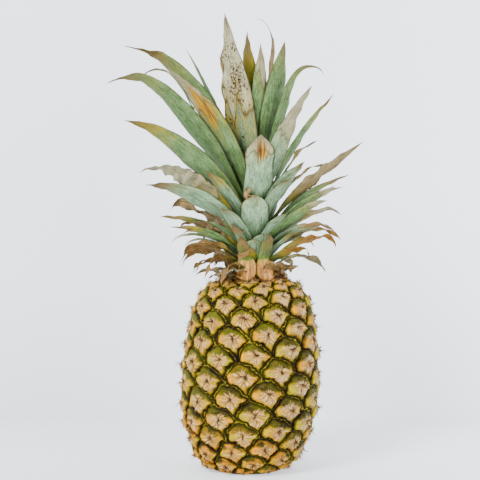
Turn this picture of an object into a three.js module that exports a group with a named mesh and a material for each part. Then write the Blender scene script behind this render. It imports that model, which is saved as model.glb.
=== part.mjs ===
// A whole fresh pineapple standing on its base: the fruit, the cut stalk under it, the short
// crown stem on top and the leaves of the crown. Millimetres, +Z up. The origin is the centre
// of the flat face the fruit stands on.
import * as THREE from "three";

// ---- Driving dimensions -------------------------------------------------------------------

const FRUIT_TOP = 167; // height of the little flat the crown stem grows from
const FRUIT_LEAN = Math.tan(THREE.MathUtils.degToRad(2)); // sideways drift of the axis per mm of height
const EYE_TURN = 137.69; // degrees round the fruit from one eye to the next
const EYE_RISE = 0.0259; // climb from one eye to the next, as a share of the local radius
const EYE_PHASE = 40.4; // degrees, turns the whole pattern of eyes round the fruit
const EYE_START = 0.0205; // climb of the first eye
const EYE_TILT = 0.115; // how much lower the rows of eyes run on the +X side
const EYE_CROWN = 1.3; // how far the middle of an eye stands proud of the mean surface
const EYE_GROOVE = 2.4; // how deep the furrow between two eyes lies below it

const STALK_RADIUS = 14; // the cut stalk in its hollow under the fruit
const STALK_HOLLOW_RADIUS = 15;
const STALK_HOLLOW_DEPTH = 5;

const STEM_HEIGHT = 92;
const STEM_BASE_RADIUS = 15;
const STEM_TOP_RADIUS = 4.5;
const GAP = 0.3; // clearance kept between pieces that grow against each other

const LEAF_THICKNESS = 1.1; // at the middle of the base; it thins towards the tip
const CLASP = 62; // degrees of stem a foot wraps to either side, at most
const radians = THREE.MathUtils.degToRad;

// Half section of the fruit, radius then height, from the edge of the standing face to the top flat.
const FRUIT_PROFILE = [
  [31, 0],
  [40, 6.5],
  [47, 16],
  [52.5, 31],
  [57.4, 50],
  [59.3, 72],
  [58.6, 92],
  [56.2, 115],
  [52, 138],
  [46.5, 152.5],
  [38, 162],
  [27, 166.3],
  [17.5, FRUIT_TOP],
];

// ---- Materials ----------------------------------------------------------------------------

function skin(colour, roughness) {
  return new THREE.MeshStandardMaterial({ color: colour, roughness, metalness: 0 });
}

const RIND = skin(0xa8884a, 0.7);
const CUT_WOOD = skin(0xb59a6a, 0.85);
const STEM_FLESH = skin(0xb9b27a, 0.75);
const LEAF_COLOURS = {
  green: skin(0x7d9c78, 0.55),
  pale: skin(0xaab8a2, 0.7),
  dry: skin(0x8d7455, 0.85),
};

// ---- Closed meshes from rings of points ---------------------------------------------------

// Faces between neighbouring rings of equal length, the points numbered ring after ring. Quads
// from column flipFrom on are split along their other diagonal.
function sideFaces(ringCount, size, flipFrom = size) {
  const faces = [];
  for (let j = 0; j < size; j++) {
    const k = (j + 1) % size;
    for (let i = 0; i + 1 < ringCount; i++) {
      const a = i * size;
      const b = a + size;
      if (j < flipFrom) faces.push(a + j, a + k, b + k, a + j, b + k, b + j);
      else faces.push(a + j, a + k, b + j, a + k, b + k, b + j);
    }
  }
  return faces;
}

// Faces that close a ring on a single point; start is the number of the ring's first point.
function endFan(start, size, centre) {
  const faces = [];
  for (let j = 0; j < size; j++) faces.push(start + j, start + ((j + 1) % size), centre);
  return faces;
}

function solidFrom(points, faces) {
  return new THREE.BufferGeometry().setFromPoints(points).setIndex(faces);
}

// Joins rings of equal length into a tube and closes each end on a single point.
function closedTube(rings, firstEnd, lastEnd) {
  const size = rings[0].length;
  const points = [...rings.flat(), firstEnd, lastEnd];
  const firstFan = endFan(0, size, points.length - 2).reverse();
  const lastFan = endFan((rings.length - 1) * size, size, points.length - 1);
  return solidFrom(points, [...sideFaces(rings.length, size), ...firstFan, ...lastFan]);
}

// ---- Fruit --------------------------------------------------------------------------------

const profileCurve = new THREE.CatmullRomCurve3(
  FRUIT_PROFILE.map(([r, z]) => new THREE.Vector3(r, 0, z)),
  false,
  "centripetal",
);

// Eyes climb the fruit on one tight spiral. Plotted as angle against climb, where the climb is
// height divided by local radius and added up, they form an even lattice of slanted hexagons.
const EYE_NEIGHBOURS = [5, 8, 13];
const fullTurn = 2 * Math.PI;

function wrapped(angle) {
  return angle - fullTurn * Math.round(angle / fullTurn);
}

const eyeSteps = EYE_NEIGHBOURS.map((n) => {
  return new THREE.Vector2(wrapped(-n * radians(EYE_TURN)), n * EYE_RISE);
});

// 1 in the middle of an eye and 0 on the furrow round it.
function eyeHeight(angle, height) {
  const climb = height - EYE_START + EYE_TILT * Math.cos(angle);
  let nearest = new THREE.Vector2(Infinity, Infinity);
  const middle = Math.round(climb / EYE_RISE);
  for (let i = middle - 20; i <= middle + 20; i++) {
    const turn = i * radians(EYE_TURN) + radians(EYE_PHASE);
    const offset = new THREE.Vector2(wrapped(angle + turn), climb - i * EYE_RISE);
    if (offset.length() < nearest.length()) nearest = offset;
  }
  const share = Math.max(
    ...eyeSteps.map((step) => (2 * Math.abs(nearest.dot(step))) / step.lengthSq()),
  );
  return 1 - Math.min(1, share) ** 2;
}

function makeFruit() {
  const ringCount = 58;
  const segments = 92;
  const rings = [];
  const upright = new THREE.Vector3();
  let climb = 0;
  let before = profileCurve.getPointAt(0);
  for (let i = 0; i <= ringCount; i++) {
    const along = i / ringCount;
    const here = profileCurve.getPointAt(along);
    climb += before.distanceTo(here) / ((before.x + here.x) / 2);
    before = here;
    const tangent = profileCurve.getTangentAt(along);
    upright.set(tangent.z, 0, -tangent.x);
    const fade = THREE.MathUtils.smoothstep(along, 0, 0.1) * (1 - THREE.MathUtils.smoothstep(along, 0.92, 1));
    const ring = [];
    for (let j = 0; j < segments; j++) {
      const angle = (j / segments) * fullTurn;
      const relief = fade * (eyeHeight(angle, climb) * (EYE_CROWN + EYE_GROOVE) - EYE_GROOVE);
      const radius = here.x + upright.x * relief;
      const z = here.z + upright.z * relief;
      ring.push(
        new THREE.Vector3(radius * Math.cos(angle) + FRUIT_LEAN * z, radius * Math.sin(angle), z),
      );
    }
    rings.push(ring);
  }
  const hollow = [
    [STALK_HOLLOW_RADIUS, STALK_HOLLOW_DEPTH],
    [STALK_HOLLOW_RADIUS, 0],
  ].map(([r, z]) =>
    rings[0].map((_, j) => {
      const angle = (j / segments) * fullTurn;
      return new THREE.Vector3(r * Math.cos(angle), r * Math.sin(angle), z);
    }),
  );
  const hollowTop = new THREE.Vector3(0, 0, STALK_HOLLOW_DEPTH);
  const top = new THREE.Vector3(FRUIT_LEAN * FRUIT_TOP, 0, FRUIT_TOP);
  return new THREE.Mesh(closedTube([...hollow, ...rings], hollowTop, top), RIND);
}

// ---- Cut stalk and crown stem -------------------------------------------------------------

function makeCutStalk() {
  const height = STALK_HOLLOW_DEPTH - GAP;
  const geometry = new THREE.CylinderGeometry(STALK_RADIUS, STALK_RADIUS - 0.6, height, 32);
  const stalk = new THREE.Mesh(geometry, CUT_WOOD);
  stalk.rotation.x = Math.PI / 2;
  stalk.position.z = height / 2;
  return stalk;
}

const crownBase = new THREE.Vector3(FRUIT_LEAN * FRUIT_TOP, 0, FRUIT_TOP + GAP);

function stemRadius(height) {
  return THREE.MathUtils.lerp(STEM_BASE_RADIUS, STEM_TOP_RADIUS, height / STEM_HEIGHT);
}

function makeCrownStem() {
  const geometry = new THREE.CylinderGeometry(STEM_TOP_RADIUS, STEM_BASE_RADIUS, STEM_HEIGHT, 28);
  const stem = new THREE.Mesh(geometry, STEM_FLESH);
  stem.rotation.x = Math.PI / 2;
  stem.position.copy(crownBase);
  stem.position.z += STEM_HEIGHT / 2;
  return stem;
}

// ---- Leaves -------------------------------------------------------------------------------

// One leaf a row, from the fruit upwards:
//   height    where it leaves the stem, in mm above the stem's foot
//   side      compass direction it grows in: 0 is +X, 90 is +Y (the back), -90 is the front
//   length    along the blade, width at its widest
//   lean      degrees from upright where it leaves the stem
//   bend      further degrees it has leaned by the tip, gathering slowly
//   curl      degrees of hook added over the last third
//   roll      degrees the blade twists about its own length above the foot, right-handed
//   taper     2 for a long pointed blade, up to 6 for a short blunt one
//   colour    green, pale (covered in bloom) or dry
// height side length width lean bend curl roll taper colour
const LEAVES = [
  [4, -112, 40, 13, 18, 10, 0, 0, 5, "dry"],
  [4, -64, 42, 15, 18, 10, 0, 0, 5, "dry"],
  [1, -28, 32, 13, 44, 56, 0, 0, 3, "dry"],
  [1, -144, 36, 12, 52, 90, 0, 0, 2.5, "dry"],
  [10, -170, 46, 10, 56, 95, 0, 20, 2.2, "dry"],
  [9, 14, 60, 11, 54, 100, 20, -25, 2.2, "dry"],
  [7, 88, 54, 14, 62, 60, 20, 0, 2.2, "dry"],
  [15, -92, 23, 12, 14, 2, 0, 0, 5, "pale"],
  [22, -65, 21, 13, 18, 2, 0, 0, 5, "pale"],
  [24, -126, 34, 12, 22, 32, 0, 0, 4, "pale"],
  [12, -150, 48, 12, 46, 150, 0, 20, 2.2, "dry"],
  [18, -172, 62, 12, 48, 108, 20, 30, 2.2, "dry"],
  [23, 172, 66, 8, 56, 55, 40, 30, 2, "green"],
  [19, -30, 38, 13, 40, 22, 0, 0, 3.5, "pale"],
  [17, -8, 70, 12, 55, 35, 110, -30, 2.2, "dry"],
  [24, 8, 74, 11, 50, 72, 35, -30, 2, "dry"],
  [22, 54, 80, 15, 58, 46, 20, 20, 2.2, "green"],
  [25, 122, 82, 15, 56, 48, 10, -20, 2.2, "green"],
  [31, -126, 50, 20, 34, 30, 0, 0, 4, "pale"],
  [31, -46, 40, 19, 32, 26, 0, 0, 4, "pale"],
  [25, -166, 58, 11, 58, 20, 70, 40, 2, "green"],
  [30.6, -179, 75, 12.6, 56, 36, 0, 43, 2, "green"],
  [28, -23, 70, 13, 52, 48, 40, -30, 2.2, "pale"],
  [31, 16, 78, 12, 52, 28, 70, -40, 2, "dry"],
  [37.3, -88.2, 42, 26.4, 32, -34, 0, 0, 4.5, "pale"],
  [36, 170, 76, 17, 52, 22, 90, 40, 2.2, "dry"],
  [40, -156, 104, 27, 46, 42, 0, 35, 2, "pale"],
  [39, -14, 82, 15, 49, 13, 30, -40, 2, "green"],
  [48, -142, 64, 25, 34, 14, 0, 0, 3.2, "pale"],
  [49, -42, 53, 22, 27, 25, 0, 0, 3.4, "pale"],
  [43, 4, 88, 15, 46, 24, 0, -40, 2, "green"],
  [47, 84, 104, 20, 46, 44, 0, 15, 2, "green"],
  [43, -178, 112, 25, 39, 37, 60, 40, 2, "dry"],
  [53, -30, 66, 22, 28, 24, 0, -20, 2.6, "pale"],
  [51, 28, 88, 12, 35, 40, 40, -30, 2, "dry"],
  [55, -99, 31, 9, 27, 0, 0, 0, 3, "dry"],
  [56, 32, 88, 18, 28, 26, 20, -30, 2.2, "green"],
  [56, -160, 140, 29, 38, 30, 15, 40, 2, "green"],
  [46, -2, 114, 15, 41, 18, 0, -40, 2, "dry"],
  [53, 122, 124, 22, 38, 38, 0, 15, 2, "green"],
  [59, -80, 74, 27, 30, -26, 0, 0, 3.4, "pale"],
  [62, 10, 120, 16, 24, 19, 0, -40, 2, "green"],
  [62.4, -171.5, 178, 28.5, 27, 32, 75, 40, 2, "green"],
  [71, 34, 95, 11, 16, 4, 0, -20, 2, "green"],
  [66, -46, 122, 23, 21, 23, 0, -12, 2.2, "pale"],
  [73, -152, 144, 30, 21, 34, 0, 20, 2.2, "green"],
  [59, 148, 180, 14, 30, 6, 110, 30, 2, "green"],
  [76, -14, 140, 15, 13, 8, 150, -30, 2.2, "green"],
  [77, 178, 176, 29, 21, 37, 38, 50, 2, "green"],
  [86, -141, 149, 38, 10, 0, 0, 30, 2.6, "pale"],
  [66, 130, 166, 17, 26, 16, 0, 30, 2, "green"],
  [82, -6, 128, 23, 9, 0, 0, -40, 3.2, "green"],
  [81, 126, 126, 14, 14, 18, 0, 0, 2, "green"],
  [75, 82, 124, 13, 15, -1, 0, -30, 2.2, "green"],
  [89, -58, 118, 16, 4, -4, 0, 0, 2.6, "green"],
  [86, 41, 156, 9, 8, 0, -110, 0, 2, "green"],
  [92, 126, 126, 18, 2, 0, 0, 0, 2.4, "green"],
];

const SECTIONS_SHORT = 6;
const SECTIONS_LONG = 9;
const LONG_LEAF = 60;
const PATH_STEPS = 60;

// Centre line of a leaf as points with their headings, at even steps from the stem to the tip.
function leafPath(leaf) {
  const point = new THREE.Vector3(Math.cos(leaf.side), Math.sin(leaf.side), 0);
  point.multiplyScalar(stemRadius(leaf.height) + GAP + LEAF_THICKNESS);
  point.add(crownBase);
  point.z += leaf.height;
  const path = [];
  for (let i = 0; i <= PATH_STEPS; i++) {
    const s = i / PATH_STEPS;
    const hook = Math.max(0, (s - 0.68) / 0.32) ** 1.5;
    const pitch = leaf.lean + leaf.bend * s ** 1.4 + leaf.curl * hook;
    const heading = new THREE.Vector3(
      Math.sin(pitch) * Math.cos(leaf.side),
      Math.sin(pitch) * Math.sin(leaf.side),
      Math.cos(pitch),
    );
    path.push({ point: point.clone(), heading });
    point.addScaledVector(heading, leaf.length / PATH_STEPS);
  }
  return path;
}

// Half angle of stem that the foot wraps, measured from the stem's axis.
function footAngle(leaf) {
  return Math.min(radians(CLASP), (0.43 * leaf.width) / (stemRadius(leaf.height) + GAP + LEAF_THICKNESS));
}

// Width along the blade: the clasping foot, the widest stretch a quarter up, then the taper.
function leafWidth(leaf, s) {
  const footWidth = 2 * footAngle(leaf) * (stemRadius(leaf.height) + GAP + LEAF_THICKNESS);
  const width = THREE.MathUtils.lerp(footWidth, leaf.width, THREE.MathUtils.smoothstep(s, 0, 0.25));
  return width * (1 - Math.max(0, (s - 0.2) / 0.8) ** leaf.taper);
}

// A leaf is a channel: its section is an arc that wraps the stem at the foot and flattens above.
function leafSection(leaf, path, s) {
  const { point, heading } = path[Math.round(s * PATH_STEPS)];
  const twist = leaf.roll * THREE.MathUtils.smoothstep(s, 0.05, 0.5);
  const across = new THREE.Vector3(-Math.sin(leaf.side), Math.cos(leaf.side), 0);
  across.applyAxisAngle(heading, twist);
  const inward = new THREE.Vector3().crossVectors(heading, across);
  const width = leafWidth(leaf, s);
  const open = THREE.MathUtils.smoothstep(s, 0, 0.35);
  const halfAngle = THREE.MathUtils.lerp(footAngle(leaf), radians(24), open);
  const arcRadius = width / (2 * halfAngle);
  const half = (LEAF_THICKNESS / 2) * (1 - 0.6 * s);
  const at = (share, lift) =>
    point
      .clone()
      .addScaledVector(across, (arcRadius - lift) * Math.sin(share * halfAngle))
      .addScaledVector(inward, arcRadius - (arcRadius - lift) * Math.cos(share * halfAngle));
  return [
    at(-1, 0),
    at(-0.5, -half),
    at(0, -half),
    at(0.5, -half),
    at(1, 0),
    at(0.5, half),
    at(0, half),
    at(-0.5, half),
  ];
}

// The cut face at the foot, between the outer and the inner side of the first section. The two
// sides split their quads along matching diagonals, so a twisted blade keeps its thickness.
const FOOT_FACES = [0, 7, 1, 7, 6, 2, 7, 2, 1, 6, 5, 3, 6, 3, 2, 5, 4, 3];

function makeLeaf([height, side, length, width, lean, bend, curl, roll, taper, colour]) {
  const leaf = {
    height,
    length,
    width,
    taper,
    side: radians(side),
    lean: radians(lean),
    bend: radians(bend),
    curl: radians(curl),
    roll: radians(roll),
  };
  const path = leafPath(leaf);
  const count = length < LONG_LEAF ? SECTIONS_SHORT : SECTIONS_LONG;
  const points = [];
  for (let i = 0; i < count; i++) points.push(...leafSection(leaf, path, (0.95 * i) / (count - 1)));
  const tip = points.push(path[PATH_STEPS].point) - 1;
  const faces = [...sideFaces(count, 8, 4), ...FOOT_FACES, ...endFan(tip - 8, 8, tip)];
  return new THREE.Mesh(solidFrom(points, faces), LEAF_COLOURS[colour]);
}

// ---- Assembly -----------------------------------------------------------------------------

function named(mesh, name) {
  mesh.name = name;
  return mesh;
}

const pineapple = new THREE.Group();
pineapple.add(named(makeFruit(), "fruit"));
pineapple.add(named(makeCutStalk(), "cut_stalk"));
pineapple.add(named(makeCrownStem(), "crown_stem"));
LEAVES.forEach((row, i) => {
  pineapple.add(named(makeLeaf(row), "leaf_" + String(i + 1).padStart(2, "0")));
});

export default pineapple;
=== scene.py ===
# %% [markdown]
# # A pineapple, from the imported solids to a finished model
#
# The model of the fruit arrives as plain solids: one fruit, a cut stalk, a short stem and a crown
# of leaf blanks. This lesson loads them, then grows a finer fruit and finer leaves on exactly the
# same places, and paints them with materials made of nodes.

import math

import bmesh
import bpy
import numpy as np
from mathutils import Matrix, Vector


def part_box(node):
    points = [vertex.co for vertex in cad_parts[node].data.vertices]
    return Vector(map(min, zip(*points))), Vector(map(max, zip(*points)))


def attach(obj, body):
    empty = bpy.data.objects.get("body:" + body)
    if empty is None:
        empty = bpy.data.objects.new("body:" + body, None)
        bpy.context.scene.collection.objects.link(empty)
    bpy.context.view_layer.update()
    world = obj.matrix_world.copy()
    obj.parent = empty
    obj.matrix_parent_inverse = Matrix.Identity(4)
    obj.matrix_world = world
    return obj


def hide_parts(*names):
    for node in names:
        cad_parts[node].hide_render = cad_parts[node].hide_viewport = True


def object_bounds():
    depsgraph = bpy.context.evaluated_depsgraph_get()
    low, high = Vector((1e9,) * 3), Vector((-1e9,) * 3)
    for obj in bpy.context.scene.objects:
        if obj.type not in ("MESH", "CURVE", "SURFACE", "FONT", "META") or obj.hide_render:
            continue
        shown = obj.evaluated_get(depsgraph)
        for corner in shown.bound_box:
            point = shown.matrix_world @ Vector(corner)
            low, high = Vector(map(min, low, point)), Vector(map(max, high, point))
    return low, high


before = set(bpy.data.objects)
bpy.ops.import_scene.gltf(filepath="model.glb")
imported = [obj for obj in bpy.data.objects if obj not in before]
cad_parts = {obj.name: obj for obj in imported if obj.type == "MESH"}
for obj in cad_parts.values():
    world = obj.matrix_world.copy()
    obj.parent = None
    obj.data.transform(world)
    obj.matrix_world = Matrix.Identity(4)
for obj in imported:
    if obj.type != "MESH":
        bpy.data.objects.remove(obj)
cad_low, cad_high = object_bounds()
print("solids:", len(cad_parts))
print("box of the solids in mm:", [round(1000 * c) for c in cad_high - cad_low])

# %% [markdown]
# Fruit is measured in millimetres and Blender works in metres, so one constant turns one into the
# other. The stem's foot is the middle of the crown, and nearly everything is placed from it.

# %% Sizes that everything else hangs on
MM = 0.001
stem_low, stem_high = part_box("crown_stem")
STEM_AXIS = ((stem_low + stem_high) / 2).xy
STEM_FOOT = stem_low.z
HEIGHT = cad_high.z
print("stem axis", [round(1000 * c, 1) for c in STEM_AXIS], "foot at", round(1000 * STEM_FOOT, 1))

# %% [markdown]
# ## The camera
# A long lens from a good distance keeps the fruit's sides nearly parallel. The lens length follows
# from how wide the view has to be at the fruit's distance, so only distances have to be chosen.

# %% Set up the camera
CAMERA_DISTANCE = 1.6
CAMERA_ELEVATION = math.radians(5)
VIEW_WIDTH = 1.052 * HEIGHT
SENSOR = 36.0

aim = Vector((cad_low.x * 0.052, 0, HEIGHT * 0.505))
camera_data = bpy.data.cameras.new("camera")
camera_data.sensor_width = SENSOR
camera_data.lens = SENSOR * CAMERA_DISTANCE / VIEW_WIDTH
camera = bpy.data.objects.new("camera", camera_data)
bpy.context.scene.collection.objects.link(camera)
toward_camera = Vector((0, -math.cos(CAMERA_ELEVATION), math.sin(CAMERA_ELEVATION)))
camera.location = aim + CAMERA_DISTANCE * toward_camera
camera.rotation_euler = (-toward_camera).to_track_quat("-Z", "Y").to_euler()
bpy.context.scene.camera = camera
print("lens", round(camera_data.lens), "mm")

# %% [markdown]
# ## Building materials out of nodes
# Every finish below is a small network of nodes. Wiring each one by hand fills pages, so this class
# writes them: `place` adds a node and plugs in its inputs, and the rest are named after what they do
# to a mask or a colour. `times`, `plus` and `ramp` shape masks, and `blend` lays a colour on another.

# %% A writer of nodes


class NodeWriter:
    """Writes nodes into one material or group; inputs are plain values or outputs of other nodes."""

    def __init__(self, tree):
        self.tree = tree
        self.nodes = tree.nodes

    def plug(self, socket, value):
        """Link a socket to another one, or set it to a plain value."""
        if isinstance(value, bpy.types.NodeSocket):
            self.tree.links.new(value, socket)
        else:
            socket.default_value = value

    def place(self, kind, inputs=(), **settings):
        """Add a node; inputs maps socket names or numbers to values or to other sockets."""
        node = self.nodes.new(kind)
        for name, value in settings.items():
            setattr(node, name, value)
        for name, value in dict(inputs).items():
            self.plug(node.inputs[name], value)
        return node

    def calc(self, operation, *values):
        """One sum of plain arithmetic; the short names below are the ones used most."""
        return self.place("ShaderNodeMath", enumerate(values), operation=operation).outputs[0]

    def times(self, first, *others):
        for other in others:
            first = self.calc("MULTIPLY", first, other)
        return first

    def plus(self, a, b):
        return self.calc("ADD", a, b)

    def minus(self, a, b):
        return self.calc("SUBTRACT", a, b)

    def times_plus(self, a, b, c):
        return self.calc("MULTIPLY_ADD", a, b, c)

    def bell(self, value):
        """1 where the value is 0, falling away smoothly on both sides."""
        return self.calc("EXPONENT", self.times(value, value, -1.0))

    def ramp(self, value, low, high):
        """0 below low, 1 above high and an even slope between, like a soft threshold."""
        inputs = {"Value": value, "From Min": low, "From Max": high}
        return self.place("ShaderNodeMapRange", inputs).outputs["Result"]

    def noise(self, vector, scale, detail=3.0, roughness=0.55):
        inputs = {"Vector": vector, "Scale": scale, "Detail": detail, "Roughness": roughness}
        return self.place("ShaderNodeTexNoise", inputs).outputs["Fac"]

    def blend(self, share, under, over, strength=None):
        """Lay one colour over another by a mask; strength scales the mask."""
        if strength is not None:
            share = self.times(share, strength)
        # a mix node keeps a set of sockets for each kind of data; 6, 7 and output 2 are its colours
        inputs = {0: share, 6: under, 7: over}
        return self.place("ShaderNodeMix", inputs, data_type="RGBA").outputs[2]

    def note(self, name):
        """A note that the mesh carries, as one vector."""
        return self.place("ShaderNodeAttribute", attribute_name=name).outputs["Vector"]

    def note_parts(self, name):
        """The three numbers of a note, one by one."""
        return self.parts(self.note(name))

    def parts(self, vector):
        return tuple(self.place("ShaderNodeSeparateXYZ", {0: vector}).outputs)

    def stack(self, x, y, z):
        return self.place("ShaderNodeCombineXYZ", {0: x, 1: y, 2: z}).outputs[0]

    def spot(self):
        """Where a spot lies in the piece's own space, in metres."""
        return self.place("ShaderNodeTexCoord").outputs["Object"]

    def use(self, group, inputs):
        """Place a node group and hand back its outputs."""
        node = self.nodes.new("ShaderNodeGroup")
        node.node_tree = group.tree
        for name, value in inputs.items():
            self.plug(node.inputs[name], value)
        return node.outputs


print("node writer ready")

# %% [markdown]
# Pigments are named by how strong they look on the brush. In bright, even light a colour washes out,
# so `pigment` deepens each one a little before it goes into a node.
#
# A group is a network kept under one name, for effects that several materials share. A material adds
# the shader that turns colours into a surface, and every finish below ends in `finish_surface`.

# %% Pigments, groups and materials


def colour(red, green, blue):
    return (red, green, blue, 1.0)


def pigment(red, green, blue):
    """A colour by how strong it looks on the brush, deepened for bright light."""
    return colour(*(0.7 * part**1.5 for part in (red, green, blue)))


def new_group(name, inputs, outputs):
    """An empty node group; inputs and outputs map socket names to (type, default)."""
    group = bpy.data.node_groups.new(name, "ShaderNodeTree")
    for direction, sockets in (("INPUT", inputs), ("OUTPUT", outputs)):
        for socket_name, (kind, default) in sockets.items():
            socket = group.interface.new_socket(socket_name, in_out=direction, socket_type=kind)
            if default is not None:
                socket.default_value = default
    given = group.nodes.new("NodeGroupInput").outputs
    made = group.nodes.new("NodeGroupOutput").inputs
    return NodeWriter(group), given, made


def new_material(name):
    """A material holding one Principled shader, and the pieces needed to wire it."""
    material = bpy.data.materials.new(name)
    material.use_nodes = True
    return material, NodeWriter(material.node_tree), material.node_tree.nodes["Principled BSDF"]


def finish_surface(tree, shader, base, rough, height, strength, depth):
    tree.plug(shader.inputs["Base Color"], base)
    tree.plug(shader.inputs["Roughness"], rough)
    bump = {"Height": height, "Strength": strength, "Distance": depth}
    tree.plug(shader.inputs["Normal"], tree.place("ShaderNodeBump", bump).outputs["Normal"])


def dress(piece, material):
    """Give a piece one material, in place of any that it came with."""
    piece.data.materials.clear()
    piece.data.materials.append(material)


FLOAT = "NodeSocketFloat"
COLOUR = "NodeSocketColor"
VECTOR = "NodeSocketVector"
print("a pigment of 0.5 becomes", round(pigment(0.5, 0.5, 0.5)[0], 2))

# %% [markdown]
# ## The shape of the fruit
# A pineapple is a barrel made of many small fruits grown together. Each shows as one **eye**. The
# barrel is a half section turned round the axis, and the eyes are laid out on it by the rule the
# plant itself follows: one eye after another on a tight spiral, a fixed turn and a small climb
# apart. Measured as a share of the local radius, the climb packs them into even hexagons at any
# girth, so the eyes shrink by themselves towards both ends.

# %% Section of the barrel and the spiral of eyes
# EYE_TURN and EYE_RISE lead from one eye to the next, EYE_PHASE and EYE_START place the first one,
# and EYE_TILT tips the rows, so that they sit lower on one side
EYE_TURN = math.radians(137.69)
EYE_RISE = 0.0259
EYE_PHASE = math.radians(40.4)
EYE_START = 0.0205
EYE_TILT = 0.115

# radius and height in mm, from the edge of the standing face to the flat under the crown
FRUIT_PROFILE = [
    (31, 0), (40, 6.5), (47, 16), (52.5, 31), (57.4, 50), (59.3, 72), (58.6, 92),
    (56.2, 115), (52, 138), (46.5, 152.5), (38, 162), (27, 166.3), (17.5, 167),
]
FRUIT_LEAN = math.tan(math.radians(2))
WIDEST = 59.0
FULL_TURN = 2 * math.pi


def smooth_curve(values, knots, stops):
    """Read a smooth curve through the values at the knots, at every stop."""
    slopes = np.gradient(values, knots, axis=0)
    left = np.clip(np.searchsorted(knots, stops, side="right") - 1, 0, len(knots) - 2)
    column = (-1,) + (1,) * (values.ndim - 1)
    span = (knots[left + 1] - knots[left]).reshape(column)
    f = (stops - knots[left]).reshape(column) / span
    return (
        (2 * f**3 - 3 * f**2 + 1) * values[left]
        + (f**3 - 2 * f**2 + f) * span * slopes[left]
        + (3 * f**2 - 2 * f**3) * values[left + 1]
        + (f**3 - f**2) * span * slopes[left + 1]
    )


def smooth_through(points, count):
    """Even steps along a smooth curve through the points."""
    points = np.asarray(points, float)
    knots = np.r_[0, np.cumsum(np.linalg.norm(np.diff(points, axis=0), axis=1))]
    curve = smooth_curve(points, knots, np.linspace(0, knots[-1], 40 * len(points)))
    travelled = np.r_[0, np.cumsum(np.linalg.norm(np.diff(curve, axis=0), axis=1))]
    stops = np.linspace(0, travelled[-1], count)
    return np.stack([np.interp(stops, travelled, column) for column in curve.T], axis=1)


fine_profile = smooth_through(FRUIT_PROFILE, 600)
profile_steps = np.linalg.norm(np.diff(fine_profile, axis=0), axis=1)
profile_radius = (fine_profile[1:, 0] + fine_profile[:-1, 0]) / 2
profile_climb = np.r_[0, np.cumsum(profile_steps / profile_radius)]
profile_normal = np.gradient(fine_profile, axis=0)[:, ::-1] * (1, -1)
profile_normal /= np.linalg.norm(profile_normal, axis=1)[:, None]
TOP_CLIMB = profile_climb[-1]
EYE_COUNT = int(TOP_CLIMB / EYE_RISE)
print("the climb to the crown is", round(TOP_CLIMB, 2), "so there are about", EYE_COUNT, "eyes")

# %% [markdown]
# A few small tools shape numbers. `ease` is the soft step used everywhere, and `ripple` is a cheap
# stand-in for noise: a handful of waves running in random directions, the same on every run.

# %% Soft steps and ripples


def ease(value, low, high):
    t = np.clip((value - low) / (high - low), 0, 1)
    return t * t * (3 - 2 * t)


def hill(value, centre, width):
    return np.exp(-(((value - centre) / width) ** 2))


def ripple(points, wavelength, seed, waves=7):
    """Smooth irregular waves over points, from about -1 to 1."""
    draw = np.random.default_rng(seed)
    directions = draw.normal(size=(waves, points.shape[-1]))
    directions /= np.linalg.norm(directions, axis=1)[:, None]
    lengths = wavelength * draw.uniform(0.6, 1.6, waves)
    phases = draw.uniform(0, FULL_TURN, waves)
    waves_at = np.sin(points @ (directions / lengths[:, None]).T * FULL_TURN + phases)
    return waves_at.sum(axis=-1) / math.sqrt(waves)


def on_cylinder(angle, climb):
    """Points of a unit cylinder, so that ripples join up round the fruit."""
    return np.stack([np.cos(angle), np.sin(angle), climb], axis=-1)


print("ease(0.5, 0, 1) =", ease(0.5, 0, 1))

# %% [markdown]
# ### One eye
# An eye has four features. A thin **lip** runs along the seam it shares with its neighbours, with a
# dark furrow on either side. Inside is a low **cushion**. From a small **pit** at its middle, the
# withered scale that once sheltered the flower fans out downwards, a papery **fan** with long
# corners to the left and right. The same layout drives the shape here and the colours later.

# %% Where a spot lies in its eye


def place_in_eye(angle, level, eye):
    across = angle + eye * EYE_TURN + EYE_PHASE
    across = across - FULL_TURN * np.round(across / FULL_TURN)
    return across, level - eye * EYE_RISE


def level_of(angle, climb):
    return climb - EYE_START + EYE_TILT * np.cos(angle)


def wavy(angle, climb):
    """Nudge a place a little, so that the seams between eyes wander as grown ones do."""
    where = on_cylinder(angle, climb)
    angle = angle + 0.016 * ripple(where, 0.17, 11) + 0.007 * ripple(where, 0.06, 12)
    climb = climb + 0.012 * ripple(where, 0.15, 13) + 0.006 * ripple(where, 0.055, 14)
    return angle, climb


SEAM_STEPS = []
for neighbour in (5, 8, 13):
    seam_turn = -neighbour * EYE_TURN
    seam_turn -= FULL_TURN * round(seam_turn / FULL_TURN)
    SEAM_STEPS.append((seam_turn, neighbour * EYE_RISE))


def seam_share(across, up):
    """0 in the middle of an eye and 1 on the seam round it; seams bulge upwards like arches."""
    shares = []
    for (a, b), bulge in zip(SEAM_STEPS, (0, 0.3, 0.3)):
        toward = 2 * (across * a + up * b) / (a * a + b * b)
        along = (up * a - across * b) / math.hypot(a, b) / 0.2
        shares.append(abs(toward - bulge * (1 - np.minimum(along**2, 1.6))))
    return np.maximum.reduce(shares)


def eye_under(angle, climb):
    """Number of the eye that a spot belongs to."""
    level = level_of(angle, climb)
    first = np.round(level / EYE_RISE)
    least = np.full(angle.shape, np.inf)
    eye = np.zeros(angle.shape)
    for step in range(-20, 21):
        share = seam_share(*place_in_eye(angle, level, first + step))
        closer = share < least
        least = np.where(closer, share, least)
        eye = np.where(closer, first + step, eye)
    return eye


print("neighbouring eyes lie", [round(WIDEST * math.hypot(*s), 1) for s in SEAM_STEPS], "mm apart")

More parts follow.
